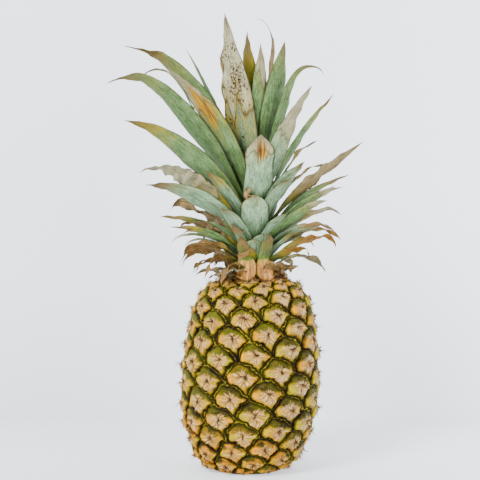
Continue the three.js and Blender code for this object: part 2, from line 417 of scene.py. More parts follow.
# %% [markdown]
# The relief is one height for every spot of an eye. Each feature is a soft hill or a soft step over
# the distance that suits it: from the seam for the flank, the cushion and the lip, and from the pit
# for the fan. Adding them up gives one surface without hard joins, so nothing has to be smoothed.

# %% Relief of one eye, in mm
HEART_UP = 4.2  # the pit sits above the middle of the eye, under its arch


def fan_reach(turn_from_down):
    """How far the papery fan reaches from the pit in each direction."""
    away = np.abs(turn_from_down)
    reach = 5.6 + 4.4 * ease(np.cos(away), -0.7, 0.2)
    return reach + 2.2 * hill(away, math.radians(72), math.radians(16))


def eye_relief(across, up, share, luck):
    """Height over the barrel of a spot that lies (across, up) mm from the middle of its eye."""
    share = np.minimum(share, 1)
    flank = 2.9 * (ease(1 - share, 0.02, 0.26) - 1)
    cushion = 1.7 * (1 - share**2.2)
    lip = 2.2 * hill(share, 1.0, 0.05) * ease(np.abs(up), 1.5, 5.0)
    rise = up - HEART_UP
    distance = np.hypot(across, rise)
    turn = np.arctan2(across, -rise)
    fan = ease(fan_reach(turn) - distance, -0.4, 1.1) * ease(1 - share, 0.05, 0.14)
    rays = np.cos(turn * 15 + 6 * luck) * ease(distance, 1.0, 5.0)
    pit = 1.5 * hill(distance, 0, 1.15)
    return flank + cushion + lip + fan * (0.45 + 0.22 * rays) - pit


middle_height = float(eye_relief(0.0, 0.0, 0.0, 0.5))
furrow_height = float(eye_relief(0.0, 0.0, 0.93, 0.5))
print("an eye's middle stands", round(middle_height - furrow_height, 1), "mm over its furrow")

# %% [markdown]
# ### Laying the surface
# The barrel is a grid of rows and columns, about a millimetre apart. Each grid point knows its eye,
# so its height follows from the functions above. Both ends fade to plain rind, because the eyes
# there are too young and small to show.

# %% The barrel's surface


def barrel_point(angle, climb, lift):
    """Points at a height over the smooth barrel, in metres."""
    radius = np.interp(climb, profile_climb, fine_profile[:, 0])
    height = np.interp(climb, profile_climb, fine_profile[:, 1])
    out = np.interp(climb, profile_climb, profile_normal[:, 0])
    up = np.interp(climb, profile_climb, profile_normal[:, 1])
    radius = radius + out * lift
    height = height + up * lift
    x = radius * np.cos(angle) + FRUIT_LEAN * height
    return MM * np.stack([x, radius * np.sin(angle), height], axis=-1)


def end_fade(climb):
    return ease(climb, 0.03, 0.22) * ease(TOP_CLIMB - climb, 0.02, 0.16)


def luck_of(eye, draw):
    """A steady random number from 0 to 1 for each eye."""
    return np.modf(np.abs(np.sin(eye * 12.9898 + draw * 78.233) * 43758.5453))[0]


def rind_lift(angle, climb):
    """Relief of the rind in mm at any place on the barrel."""
    bent_angle, bent_climb = wavy(angle, climb)
    eye = eye_under(bent_angle, bent_climb)
    across, up = place_in_eye(bent_angle, level_of(bent_angle, bent_climb), eye)
    share = seam_share(across, up)
    girth = np.interp(climb, profile_climb, fine_profile[:, 0]) / WIDEST
    relief = eye_relief(WIDEST * across, WIDEST * up, share, luck_of(eye, 1))
    relief = relief + 0.25 * ripple(on_cylinder(angle, climb), 0.08, 21)
    swell = 0.7 * (luck_of(eye, 2) - 0.5) * (1 - share**2)
    return (relief + swell) * np.sqrt(girth) * end_fade(climb)


COLUMNS = 420
ROWS = 216
row_climb = np.interp(
    np.linspace(0, 1, ROWS), np.linspace(0, 1, len(profile_climb)), profile_climb
)
grid_angle, grid_climb = np.meshgrid(
    np.arange(COLUMNS) / COLUMNS * FULL_TURN, row_climb
)
rind_points = barrel_point(grid_angle, grid_climb, rind_lift(grid_angle, grid_climb))
print("rind grid", rind_points.shape, "lowest", round(1000 * rind_points[..., 2].min(), 2), "mm")

# %% [markdown]
# The grid becomes a mesh, closed underneath by the shallow hollow round the stalk. A mesh made from
# plain lists of points and faces gives full control over where every point lies.

# %% Rind mesh
HOLLOW_RADIUS = 15
HOLLOW_DEPTH = 5


def mesh_piece(name, points, faces):
    mesh = bpy.data.meshes.new(name)
    mesh.from_pydata(np.asarray(points).tolist(), [], faces)
    mesh.shade_smooth()
    piece = bpy.data.objects.new(name, mesh)
    bpy.context.scene.collection.objects.link(piece)
    return piece


def note(piece, name, domain, values):
    """Store three numbers for each point, face or face corner, for the materials to read."""
    made = piece.data.attributes.new(name, "FLOAT_VECTOR", domain)
    made.data.foreach_set("vector", np.ascontiguousarray(values, np.float32).ravel())


def grid_faces(rows, columns, start=0):
    """Quads of a grid whose columns close round into a ring."""
    here = np.arange(columns)
    after = (here + 1) % columns
    lower = start + np.arange(rows - 1)[:, None] * columns
    corners = (lower + here, lower + after, lower + columns + after, lower + columns + here)
    return np.stack(corners, axis=-1).reshape(-1, 4).tolist()


def flat_ring(radius, height):
    angle = grid_angle[0]
    x = radius * np.cos(angle)
    return MM * np.stack([x, radius * np.sin(angle), 0 * angle + height], axis=-1)


hollow_rings = [flat_ring(HOLLOW_RADIUS, HOLLOW_DEPTH), flat_ring(HOLLOW_RADIUS, 0)]
rind_all = np.concatenate([*hollow_rings, rind_points.reshape(-1, 3)])
rind_faces = grid_faces(ROWS, COLUMNS, 2 * COLUMNS) + grid_faces(3, COLUMNS)
rind_faces.append(list(range(COLUMNS))[::-1])
rind_faces.append([(ROWS + 1) * COLUMNS + c for c in range(COLUMNS)])
rind = mesh_piece("rind", rind_all, rind_faces)
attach(rind, "root")
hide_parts("fruit")
print("rind:", len(rind.data.polygons), "faces")

# %% [markdown]
# Every corner of every face also carries a note of where it lies in its eye, for the rind's material
# to read. The note is made for one face at a time, so that it never smears from one eye into the
# next. Two more notes tell the eyes apart and say how ripe, dull or fresh a place is.

# %% Notes on the rind
corner_columns = np.arange(COLUMNS)[:, None] + (0, 1, 1, 0)
corner_rows = np.arange(ROWS - 1)[:, None] + (0, 0, 1, 1)
corner_angle = np.broadcast_to(corner_columns / COLUMNS * FULL_TURN, (ROWS - 1, COLUMNS, 4))
corner_climb = np.broadcast_to(row_climb[corner_rows][:, None], (ROWS - 1, COLUMNS, 4))
bent_angle, bent_climb = wavy(corner_angle, corner_climb)
face_eye = eye_under(bent_angle.mean(-1), bent_climb.mean(-1))
across, up = place_in_eye(bent_angle, level_of(bent_angle, bent_climb), face_eye[..., None])
eye_place = np.stack([WIDEST * across, WIDEST * up, seam_share(across, up)], axis=-1)
plain_corners = len(rind.data.loops) - eye_place.size // 3
no_eye = np.tile((9.0, 9.0, 0.9), (plain_corners, 1))
eye_place = np.concatenate([eye_place.reshape(-1, 3), no_eye])
note(rind, "eye_place", "CORNER", eye_place)
eye_tone = np.stack([luck_of(face_eye, draw) for draw in (3, 4, 5)], axis=-1).reshape(-1, 3)
no_tone = np.full((len(rind.data.polygons) - len(eye_tone), 3), 0.5)
note(rind, "eye_tone", "FACE", np.concatenate([eye_tone, no_tone]))

# ripe towards the foot, dull on one flank, fresh near the crown
rind_mm = rind_all / MM
ripe = ease(70 - rind_mm[:, 2] - 0.35 * rind_mm[:, 0], 0, 70)
dull = ease(rind_mm[:, 0] + 0.12 * rind_mm[:, 2], 10, 62)
fresh = ease(rind_mm[:, 2] - 0.7 * rind_mm[:, 0], 60, 180)
note(rind, "rind_age", "POINT", np.stack([ripe, dull, fresh], axis=-1))
print("eyes on the rind:", len(np.unique(face_eye)))

# %% [markdown]
# ### What the rind looks like
# One node group turns the note at each spot into masks: the papery fan with its streaks, the dark
# pit, the furrow and the lip. The material then lays colour over colour through those masks, from
# the dark olive of the skin up to the cream of the fan, as a painter would.

# %% Node group: masks of an eye
EYE_MASKS = ("Fan", "Streak", "Pit", "Cap", "Near", "Wing", "Furrow_shade", "Lip")
eye_map, given, made = new_group(
    "eye masks",
    {"Place": (VECTOR, None), "Luck": (FLOAT, 0.5)},
    {name: (FLOAT, None) for name in EYE_MASKS},
)
across, up, share = eye_map.parts(given["Place"])
rise = eye_map.minus(up, HEART_UP)
squares = eye_map.plus(eye_map.times(across, across), eye_map.times(rise, rise))
distance = eye_map.calc("SQRT", squares)
turn = eye_map.calc("ARCTAN2", across, eye_map.times(rise, -1.0))
down = eye_map.calc("COSINE", turn)
beside = eye_map.calc("SINE", turn)
seed = eye_map.times(given["Luck"], 60.0)
outward = eye_map.times_plus(distance, 0.1, seed)
ray_place = eye_map.stack(eye_map.times(beside, 4.0), eye_map.times(down, 4.0), outward)
streak = eye_map.noise(ray_place, 1.7, 3.0, 0.7)
wander = eye_map.noise(eye_map.stack(across, up, seed), 0.35, 2.0)
off_corner = eye_map.minus(eye_map.calc("ABSOLUTE", turn), 1.3)
corner = eye_map.bell(eye_map.calc("DIVIDE", off_corner, 0.38))
reach = eye_map.times_plus(eye_map.ramp(down, -0.8, 0.1), 4.2, 5.0)
reach = eye_map.times_plus(corner, 2.0, reach)
reach = eye_map.times_plus(eye_map.minus(streak, 0.5), 9.0, reach)
reach = eye_map.times(reach, eye_map.times_plus(given["Luck"], 0.35, 0.82))
edge = eye_map.minus(reach, distance)
eye_map.plug(made["Fan"], eye_map.ramp(edge, -0.6, 1.6))
eye_map.plug(made["Streak"], streak)
eye_map.plug(made["Near"], eye_map.ramp(edge, -5.4, -0.6))
eye_map.plug(made["Pit"], eye_map.ramp(eye_map.times_plus(wander, 1.6, distance), 2.3, 1.2))
eye_map.plug(made["Cap"], eye_map.ramp(eye_map.times_plus(wander, 5.0, rise), 2.5, 5.5))
eye_map.plug(made["Wing"], eye_map.times(corner, eye_map.ramp(distance, 3.0, 7.5)))
wavy_share = eye_map.times_plus(eye_map.minus(wander, 0.5), 0.14, share)
# the furrow along the seams, where the rind paints shade into the groove
eye_map.plug(made["Furrow_shade"], eye_map.ramp(wavy_share, 0.7, 0.86))
off_seam = eye_map.calc("DIVIDE", eye_map.minus(wavy_share, 0.985), 0.036)
lip = eye_map.times(eye_map.bell(off_seam), eye_map.ramp(up, -1.0, 3.0))
eye_map.plug(made["Lip"], lip)
print("eye masks:", len(eye_map.nodes), "nodes")

# %% [markdown]
# The skin between the fans is dark olive, golden in the lower half of an eye and most of all towards
# the foot of the fruit, where it ripens first. The fan over it is cream with brown streaks, and its
# darkest streaks, nearly black, are painted shade between its rays. The furrows are dark olive
# deepened to nearly black, painted shade in the grooves. Each of these is one colour blended over the
# last by one mask, in the order they lie on the fruit, and the notes for ripe, dull and fresh shift
# the mix from end to end.

# %% Material: rind
rind_skin, tree, shader = new_material("rind_skin")
tone_a, tone_b, tone_c = tree.note_parts("eye_tone")
ripe, dull, fresh = tree.note_parts("rind_age")
masks = tree.use(eye_map, {"Place": tree.note("eye_place"), "Luck": tone_a})
place_now = tree.spot()
patchy = tree.noise(place_now, 70.0, 4.0)
grain = tree.noise(place_now, 700.0, 2.0)
fine = tree.noise(place_now, 1500.0, 2.0)
mottled = tree.ramp(patchy, 0.4, 0.64)
olive = tree.blend(mottled, pigment(0.075, 0.065, 0.0), pigment(0.22, 0.215, 0.0))
olive = tree.blend(fresh, olive, pigment(0.33, 0.37, 0.0), 0.5)
bloomed = tree.blend(tree.ramp(grain, 0.48, 0.64), olive, pigment(0.33, 0.28, 0.12), 0.5)
ripeness = tree.plus(tree.times(ripe, 1.2), tree.times(tone_b, 0.65))
gold = tree.blend(tree.ramp(ripeness, 0.35, 1.1), pigment(0.85, 0.6, 0.0), pigment(1.15, 0.58, 0.0))
gold = tree.blend(dull, gold, pigment(0.5, 0.36, 0.14), 0.6)
sunny = tree.noise(place_now, 110.0, 3.0)
ripe_patch = tree.times(tree.ramp(sunny, 0.46, 0.6), tree.ramp(ripeness, 0.45, 1.2))
bloomed = tree.blend(ripe_patch, bloomed, gold, 0.8)
under_cap = tree.minus(1.0, masks["Cap"])
skin = tree.blend(tree.times(under_cap, masks["Near"]), bloomed, gold)
bright = tree.ramp(masks["Streak"], 0.43, 0.57)
paper = tree.blend(bright, pigment(0.5, 0.24, 0.03), pigment(1.26, 0.93, 0.43))
paper = tree.blend(tree.ramp(ripeness, 0.7, 1.4), paper, pigment(1.15, 0.66, 0.08), 0.75)
paper = tree.blend(dull, paper, pigment(1.0, 0.82, 0.58), 0.6)
# painted shade between the rays: the darkest streaks of the fan turn nearly black
paper = tree.blend(tree.ramp(masks["Streak"], 0.4, 0.34), paper, pigment(0.12, 0.06, 0.02))
skin = tree.blend(masks["Fan"], skin, paper)
wing = tree.blend(tone_c, pigment(0.8, 0.72, 0.0), pigment(1.15, 0.62, 0.0))
skin = tree.blend(masks["Wing"], skin, wing)
skin = tree.blend(tree.ramp(fine, 0.48, 0.6), skin, pigment(0.16, 0.1, 0.02), 0.6)
skin = tree.blend(masks["Pit"], skin, pigment(0.06, 0.03, 0.012), 0.85)
# painted shade in the groove: the furrow's own dark olive, deepened to nearly black
furrow = tree.blend(tree.ramp(patchy, 0.4, 0.62), pigment(0.04, 0.026, 0.0), pigment(0.1, 0.095, 0.0))
skin = tree.blend(masks["Furrow_shade"], skin, furrow)
lip = tree.blend(tree.ramp(grain, 0.4, 0.6), pigment(0.3, 0.2, 0.02), pigment(0.8, 0.68, 0.1))
worn = tree.times_plus(tree.ramp(patchy, 0.42, 0.58), 0.6, 0.3)
skin = tree.blend(tree.times(masks["Lip"], worn), skin, lip)
bumps = tree.plus(tree.times(grain, 0.5), tree.times(masks["Streak"], masks["Fan"], 1.2))
finish_surface(tree, shader, skin, tree.times_plus(grain, 0.2, 0.52), bumps, 0.9, 0.0011)
shader.inputs["Specular IOR Level"].default_value = 0.07
dress(rind, rind_skin)
print("rind_skin:", len(tree.nodes), "nodes")

# %% [markdown]
# ### Papery rays and spines
# The fan of each eye is really a torn, dry scale. Cut into narrow **rays** that stand a little off
# the skin, it catches the light and breaks up the outline. From the pit grow a few hair-thin dark
# **spines**, what is left of the flower. Both are placed in the same eye coordinates as the relief.

# %% Strips and hairs from points


class Pile:
    """Collects many small shapes into one mesh."""

    def __init__(self):
        self.points = []
        self.faces = []
        self.notes = []
        self.count = 0

    def add(self, points, faces, notes):
        self.points.append(points)
        self.notes.append(notes)
        self.faces.extend([[self.count + i for i in face] for face in faces])
        self.count += len(points)

    def build(self, name, note_name):
        piece = mesh_piece(name, np.concatenate(self.points), self.faces)
        note(piece, note_name, "POINT", np.concatenate(self.notes))
        return piece


def unit(vectors):
    """The vectors made one long."""
    return vectors / (np.linalg.norm(vectors, axis=-1, keepdims=True) + 1e-12)


def hair(pile, line, thickness, notes):
    """A tapering three-sided spike along a line of points, all in metres."""
    count = len(line)
    along = unit(np.gradient(line, axis=0))
    side = unit(np.cross(along, (0.31, 0.52, 0.79)))
    third = np.cross(along, side)
    size = (thickness * (1 - 0.92 * np.linspace(0, 1, count) ** 1.3))[:, None]
    corners = [
        line + size * (math.cos(turn) * side + math.sin(turn) * third)
        for turn in (0, FULL_TURN / 3, 2 * FULL_TURN / 3)
    ]
    points = np.stack(corners, axis=1).reshape(-1, 3)
    faces = grid_faces(count, 3) + [[2, 1, 0], [3 * count - 3, 3 * count - 2, 3 * count - 1]]
    pile.add(points, faces, np.repeat(notes, 3, axis=0))


def ribbon(pile, line, across, width, thickness, notes):
    """A thin closed strip along a line; across is the direction of its width at every point."""
    normal = unit(np.cross(np.gradient(line, axis=0), across))
    half = 0.5 * width[:, None] * across
    skin = 0.5 * thickness * normal
    points = np.stack([line - half, line - skin, line + half, line + skin], axis=1).reshape(-1, 3)
    last = 4 * len(line)
    faces = grid_faces(len(line), 4) + [[3, 2, 1, 0], [last - 4, last - 3, last - 2, last - 1]]
    pile.add(points, faces, np.repeat(notes, 4, axis=0))


def unbend(angle, climb):
    """Undo wavy(), near enough."""
    bent_angle, bent_climb = wavy(angle, climb)
    return 2 * angle - bent_angle, 2 * climb - bent_climb


print("strips and hairs ready")

# %% [markdown]
# Every eye gets seventeen rays and twelve to fifteen spines, with lengths, bows and lifts drawn at
# random. They are laid out in millimetres on the flat of the eye and then carried onto the barrel,
# so they follow its curve. Any that would come too near the table is left out.

# %% Rays and spines of every eye
RAYS = 17
RAY_SPREAD = 2.3  # how far from straight down the outermost rays point, in radians
LONGEST_RAY = 9.5
FLAT_SPINES = 9
RAY_CLEARANCE = 1.4 * MM
SPINE_CLEARANCE = 1.0 * MM
RAY_WIDTHS = np.array([0.4, 1, 0.95, 0.6, 0.1])
draw = np.random.default_rng(5)
rays = Pile()
spines = Pile()
for eye in range(-4, EYE_COUNT + 10):
    bent = -eye * EYE_TURN - EYE_PHASE
    climb_here = eye * EYE_RISE + EYE_START - EYE_TILT * math.cos(bent)
    if not 0.06 < climb_here < TOP_CLIMB - 0.07:
        continue
    girth = float(np.interp(climb_here, profile_climb, fine_profile[:, 0])) / WIDEST
    age = draw.uniform(0, 1, 3)

    def on_eye(across, up, lift):
        """A place on this eye, in mm from its middle, at a height in mm over the skin."""
        across, up = np.asarray(across) / WIDEST, np.asarray(up) / WIDEST
        angle, climb = unbend(bent + across, climb_here + up)
        return barrel_point(angle, climb, rind_lift(angle, climb) + lift)

    turn = (np.arange(RAYS) - 8) / 8 * RAY_SPREAD + draw.normal(0, 0.09, RAYS)
    length = fan_reach(turn) * draw.uniform(0.62, 1.05, RAYS) * (0.82 + 0.35 * luck_of(eye, 3))
    length = np.minimum(length, LONGEST_RAY)
    length[3::10] = draw.uniform(9, 13, 2)  # the long corners, left and right
    steps = np.linspace(0.1, 1, 5)
    away = steps * length[:, None]
    bow = draw.normal(0, 0.6, RAYS)[:, None] * steps**2
    cos = np.cos(turn)[:, None]
    sin = np.sin(turn)[:, None]
    ray_across = sin * away + cos * bow
    ray_up = HEART_UP - cos * away + sin * bow
    lift = 0.3 + draw.uniform(0.2, 2.7, RAYS)[:, None] * steps**1.6
    lines = on_eye(ray_across, ray_up, lift)
    beside = unit(on_eye(ray_across + 0.3 * cos, ray_up + 0.3 * sin, lift) - lines)
    for line, side in zip(lines, beside):
        if line[:, 2].min() < RAY_CLEARANCE:
            continue
        width = MM * draw.uniform(0.5, 1.6) * RAY_WIDTHS * girth
        tone = np.stack([0 * steps + draw.uniform(), steps, 0 * steps + age[0]], -1)
        ribbon(rays, line, side, width, 0.12 * MM, tone)

    count = draw.integers(3, 7)
    steps = np.linspace(0, 1, 5)
    outward = draw.uniform(2.8, 6.8, count) + 3.5 * (draw.uniform(size=count) < 0.14)
    lines = on_eye(
        draw.normal(0, 0.9, (count, 1)) + draw.normal(0, 2.2, (count, 1)) * steps**1.5,
        HEART_UP + draw.normal(0, 0.7, (count, 1)) + draw.normal(0.4, 2.4, (count, 1)) * steps**1.5,
        -0.4 + outward[:, None] * steps,
    )
    flat_turn = draw.uniform(-2.8, 2.8, (FLAT_SPINES, 1))
    flat_reach = draw.uniform(2.0, 7.0, (FLAT_SPINES, 1)) * steps
    flat_lines = on_eye(
        np.sin(flat_turn) * flat_reach + draw.normal(0, 0.5, (FLAT_SPINES, 1)),
        HEART_UP - np.cos(flat_turn) * flat_reach,
        0.5 + draw.uniform(0.6, 1.8, (FLAT_SPINES, 1)) * steps,
    )
    for line in [*lines, *flat_lines]:
        if line[:, 2].min() < SPINE_CLEARANCE:
            continue
        thickness = draw.uniform(0.3, 0.6) * MM
        hair(spines, line, thickness, np.tile((draw.uniform(), 0.5, age[1]), (5, 1)))

rays = rays.build("papery_rays", "shred_tone")
spines = spines.build("spines", "shred_tone")
for piece in (rays, spines):
    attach(piece, "root")
print("rays:", len(rays.data.polygons), "faces, spines:", len(spines.data.polygons), "faces")

# %% [markdown]
# Old paper is cream with brown tips and a few specks, and what is left of the flowers is plain dead
# wood. Both materials read the note that each strip carries: its own tone, how far along the strip
# a spot lies, and the age of its eye.

# %% Materials: paper and dead wood
paper_skin, tree, shader = new_material("paper_skin")
tone, along, age = tree.note_parts("shred_tone")
speck = tree.noise(tree.spot(), 900.0, 2.0)
paper = tree.blend(tone, pigment(0.66, 0.38, 0.08), pigment(1.26, 0.95, 0.46))
paper = tree.blend(tree.ramp(age, 0.5, 1.0), paper, pigment(0.95, 0.6, 0.14), 0.5)
paper = tree.blend(tree.ramp(along, 0.7, 1.0), paper, pigment(0.3, 0.17, 0.07), 0.45)
paper = tree.blend(tree.ramp(speck, 0.5, 0.65), paper, pigment(0.25, 0.15, 0.07), 0.4)
finish_surface(tree, shader, paper, 0.75, speck, 0.3, 0.0003)
dress(rays, paper_skin)

spine_skin, tree, shader = new_material("spine_skin")
tone = tree.note_parts("shred_tone")[0]
wood = tree.blend(tone, pigment(0.05, 0.03, 0.012), pigment(0.4, 0.24, 0.09))
finish_surface(tree, shader, wood, 0.7, tone, 0.1, 0.0002)
dress(spines, spine_skin)
print("paper and spines finished")

# %% [markdown]
# ## The crown
# Each leaf blank in the solids is a channel built of rings of eight points that ends in a single
# tip. Reading those rings back gives the leaf's whole course, so a finer blade can be drawn through
# them. Starting at the tip and stepping from neighbour to neighbour finds one ring after another.

# %% Read the leaf blanks back
RING_POINTS = 8


def blank_rings(name):
    """Five points across the middle of the blade for every ring, from foot to tip, and the tip."""
    welded = bmesh.new()
    welded.from_mesh(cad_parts[name].data)
    bmesh.ops.remove_doubles(welded, verts=welded.verts, dist=0.01 * MM)
    tip = next(v for v in welded.verts if len(v.link_edges) == RING_POINTS)
    seen, layer, rings = {tip}, [tip], []
    while True:
        layer = {e.other_vert(v) for v in layer for e in v.link_edges} - seen
        if not layer:
            break
        seen |= layer
        rings.append(np.array([v.co for v in layer]))
    tip = np.array(tip.co)
    welded.free()
    assert all(len(ring) == RING_POINTS for ring in rings), name
    rings.reverse()
    middles = [ring.mean(axis=0) for ring in rings] + [tip]
    course = []
    for i, ring in enumerate(rings):
        spread = np.linalg.norm(ring[:, None] - ring[None], axis=2)
        left, right = np.unravel_index(spread.argmax(), spread.shape)
        rest = [k for k in range(RING_POINTS) if k not in (left, right)]
        rest.sort(key=lambda k: np.dot(ring[k] - ring[left], ring[right] - ring[left]))
        pairs = [(ring[rest[k]] + ring[rest[k + 1]]) / 2 for k in (0, 2, 4)]
        points = np.array([ring[left], *pairs, ring[right]])
        heading = middles[i + 1] - middles[i]
        inward = (points[0] + points[4]) / 2 - points[2]
        if np.dot(np.cross(heading, points[4] - points[0]), inward) < 0:
            points = points[::-1]
        course.append(points)
    return np.array(course), tip


LEAF_NAMES = sorted(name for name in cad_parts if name.startswith("leaf_"))
blanks = {int(name[5:]): blank_rings(name) for name in LEAF_NAMES}
print(len(blanks), "leaves, with", sorted({len(course) for course, _ in blanks.values()}), "rings")

# %% [markdown]
# ### From a blank to a blade
# The finer blade follows the blank's course and adds what a living leaf does: margins that wave, a
# tip that dries, shrinks, rolls its edges in and twists, and a body about a millimetre thick that
# thins towards margins and tip. A short list of looks says how each leaf has aged.

# %% The looks of the leaves
# dry: where along the blade the dead tip starts; bloom: white dust on the outside; yellow: how
# strongly it yellows before the dead part; roll, crumple: how the dead part curls; ragged: margins;
# speck, stain: brown marks, the stain lying at stain_at along the blade; tan and grey: warmer or
# paler in the dead part; plump: width; blunt: wider or, below 0, narrower towards the tip; lime: a
# yellow-green foot
PLAIN = dict(
    plump=1.0, blunt=0.0, dry=0.86, bloom=0.5, yellow=0.28, lime=0.0, tan=0.3, grey=0.2,
    roll=0.5, crumple=0.5, ragged=0.2, speck=0.3, stain=0.0, stain_at=0.8,
)
DUSTY = dict(PLAIN, dry=0.93, bloom=0.85, yellow=0.2, roll=0.2, crumple=0.25)
DEAD = dict(
    PLAIN, plump=1.3, dry=0.3, bloom=0.35, yellow=0.7, grey=0.25,
    roll=0.55, crumple=0.8, ragged=0.3, speck=0.5,
)
LOOKS = {
    1: dict(PLAIN, lime=1.0, dry=0.72, bloom=0.5, yellow=0.3, tan=0.6, speck=0.6),
    2: dict(PLAIN, lime=1.0, dry=0.76, bloom=0.5, yellow=0.3, tan=0.4, speck=0.6, plump=0.9),
    3: dict(DEAD, dry=-0.3, tan=0.7, grey=0.2),
    4: dict(DEAD, dry=-0.2, tan=0.3, grey=0.4),
    5: dict(DEAD, dry=0.15, tan=0.6, grey=0.1),
    6: dict(DEAD, dry=0.35, tan=0.3, grey=0.4),
    7: dict(DEAD, dry=0.3, tan=0.4),
    8: dict(DUSTY, plump=1.7, dry=0.97, bloom=0.6, lime=1.0),
    9: dict(DUSTY, plump=1.7, dry=0.98, bloom=0.7, lime=1.0),
    10: dict(DUSTY, dry=0.6, tan=0.5, bloom=0.6),
    11: dict(DEAD, dry=0.3, tan=0.7, grey=0.1),
    12: dict(DEAD, dry=0.3, tan=0.7, grey=0.1),
    13: dict(PLAIN, dry=0.7, bloom=0.6, grey=0.8),
    14: dict(DUSTY, dry=0.8, bloom=0.7, yellow=0.6),
    15: dict(DEAD, dry=0.4, tan=0.9, grey=0.0),
    16: dict(DEAD, dry=0.55, tan=0.7, grey=0.1),
    19: dict(DUSTY, dry=0.85, bloom=0.9, speck=0.3),
    20: dict(DUSTY, dry=0.93, bloom=0.9),
    21: dict(PLAIN, dry=0.7, tan=0.5),
    22: dict(PLAIN, dry=0.72, tan=0.6, grey=0.2, yellow=0.7),
    23: dict(DUSTY, dry=0.55, tan=0.7, grey=0.2, bloom=0.75),
    24: dict(DEAD, dry=0.5, tan=0.2, grey=0.8, bloom=0.7),
    25: dict(DUSTY, blunt=0.25, dry=0.93, bloom=0.9),
    26: dict(DEAD, dry=0.2, tan=0.6, grey=0.3),
    27: dict(DUSTY, dry=0.76, bloom=0.85, tan=0.3, speck=0.3, crumple=0.5),
    28: dict(PLAIN, dry=0.72, bloom=0.7, grey=0.8),
    29: dict(DUSTY, blunt=0.4, dry=0.8, bloom=0.85, yellow=0.8, speck=0.3),
    30: dict(DUSTY, dry=0.85, bloom=0.9, speck=0.3),
    31: dict(PLAIN, dry=0.74, bloom=0.6, tan=0.3),
    33: dict(DEAD, dry=0.38, bloom=0.75, yellow=0.9, tan=0.1, grey=0.9, crumple=1.2),
    34: dict(DUSTY, dry=0.82, bloom=0.8),
    35: dict(DEAD, dry=0.55, tan=0.6, bloom=0.7),
    36: dict(
        DEAD, plump=2.2, dry=-0.2, tan=1.0, crumple=1.4, grey=0.3, speck=1.5, stain=1.2,
        stain_at=0.5,
    ),
    37: dict(PLAIN, dry=0.7, bloom=0.1, yellow=1.0, tan=0.4),
    38: dict(DUSTY, dry=0.86, bloom=0.65, yellow=0.9, tan=0.3, grey=0.0, roll=1.1, crumple=0.6),
    39: dict(DEAD, dry=0.32, bloom=0.6, tan=0.5, grey=0.4),
    41: dict(
        DUSTY, blunt=0.8, dry=0.82, roll=0.0, crumple=0.1, grey=0.75, bloom=0.95, stain=1.1,
        stain_at=0.8, speck=0.6,
    ),
    42: dict(PLAIN, dry=0.78, bloom=0.55, tan=0.6),
    43: dict(PLAIN, dry=0.84, bloom=0.55, grey=0.2, roll=1.1, crumple=0.9),
    44: dict(PLAIN, dry=0.8, bloom=0.1),
    45: dict(DUSTY, dry=0.55, bloom=0.95, grey=0.8, speck=0.6, crumple=0.5),
    46: dict(
        DUSTY, dry=0.6, bloom=0.8, yellow=1.0, grey=0.7, speck=0.5, stain=1.6, stain_at=0.62,
        crumple=0.35,
    ),
    47: dict(PLAIN, dry=0.86, bloom=0.2, tan=0.3, roll=1.1, crumple=0.9),
    48: dict(PLAIN, dry=0.85, bloom=0.7, tan=0.6),
    49: dict(PLAIN, dry=0.76, bloom=0.6, yellow=0.4, tan=0.2, grey=0.1, roll=1.1, crumple=1.0),
    50: dict(
        DUSTY, plump=0.82, blunt=-0.35, dry=0.44, bloom=0.95, yellow=0.9, grey=1.0, speck=1.9,
        stain=0.5, stain_at=0.6, crumple=0.2, roll=0.1, ragged=0.05,
    ),
    51: dict(PLAIN, plump=1.25, dry=0.93, bloom=0.6),
    52: dict(DUSTY, plump=1.25, dry=0.92, bloom=0.6),
    53: dict(PLAIN, plump=1.3, roll=0.9, crumple=0.9, dry=0.74, bloom=0.1, yellow=0.8, tan=0.5),
    54: dict(PLAIN, dry=0.7, bloom=0.05, tan=0.7),
    55: dict(DUSTY, plump=1.35, dry=0.74, bloom=0.7, grey=0.8, speck=0.5),
    56: dict(PLAIN, dry=0.5, bloom=0.05, yellow=0.6, grey=0.3),
    57: dict(PLAIN, plump=1.3, dry=0.8, bloom=0.3, yellow=0.9),
}
print("looks for", len(LOOKS), "leaves")

# %% [markdown]
# A smooth curve through the rings can be written as a table of weights: each row says how much of
# every ring goes into one point of the blade, and one sum of products then carries the whole blade
# over. `turned` swings the sides of a blade about its own line, to roll and to twist it.

# %% Smooth curves as weights
ROWS_ALONG = 46
ACROSS = np.linspace(-1, 1, 13)
MIDRIB = len(ACROSS) // 2


def curve_weights(stops, knots):
    """Matrix that carries values at the knots to a smooth curve read at the stops."""
    return smooth_curve(np.eye(len(knots)), knots, stops)


def turned(vectors, axis, angle):
    """Vectors turned about a unit axis each."""
    cos = np.cos(angle)[..., None]
    sin = np.sin(angle)[..., None]
    along = (vectors * axis).sum(-1, keepdims=True)
    return vectors * cos + np.cross(axis, vectors) * sin + axis * along * (1 - cos)


CROSS_WEIGHTS = curve_weights(ACROSS, np.linspace(-1, 1, 5))
print("weights across a blade:", CROSS_WEIGHTS.shape)

# %% [markdown]
# Drawing a blade takes four steps. The smooth sheet is laid through the blank, the dead part is
# shrunk, rolled in and twisted, the margins are given their waves, and the sheet gets a thickness.
# Last come the notes for the material: how dead, dusty, yellow or stained every point is.

# %% Draw a finer blade through a blank


def round_ring(values, inside=None):
    """Values over a sheet, laid out for the ring of outer and inner points and for the tip."""
    values = np.broadcast_to(values, (ROWS_ALONG, len(ACROSS)))
    back = values if inside is None else np.broadcast_to(inside, values.shape)
    return np.append(np.concatenate([values, back[:, -2:0:-1]], axis=1).ravel(), values[-1, MIDRIB])


def note_sheet(blade, name, *values):
    note(blade, name, "POINT", np.stack([round_ring(value) for value in values], -1))


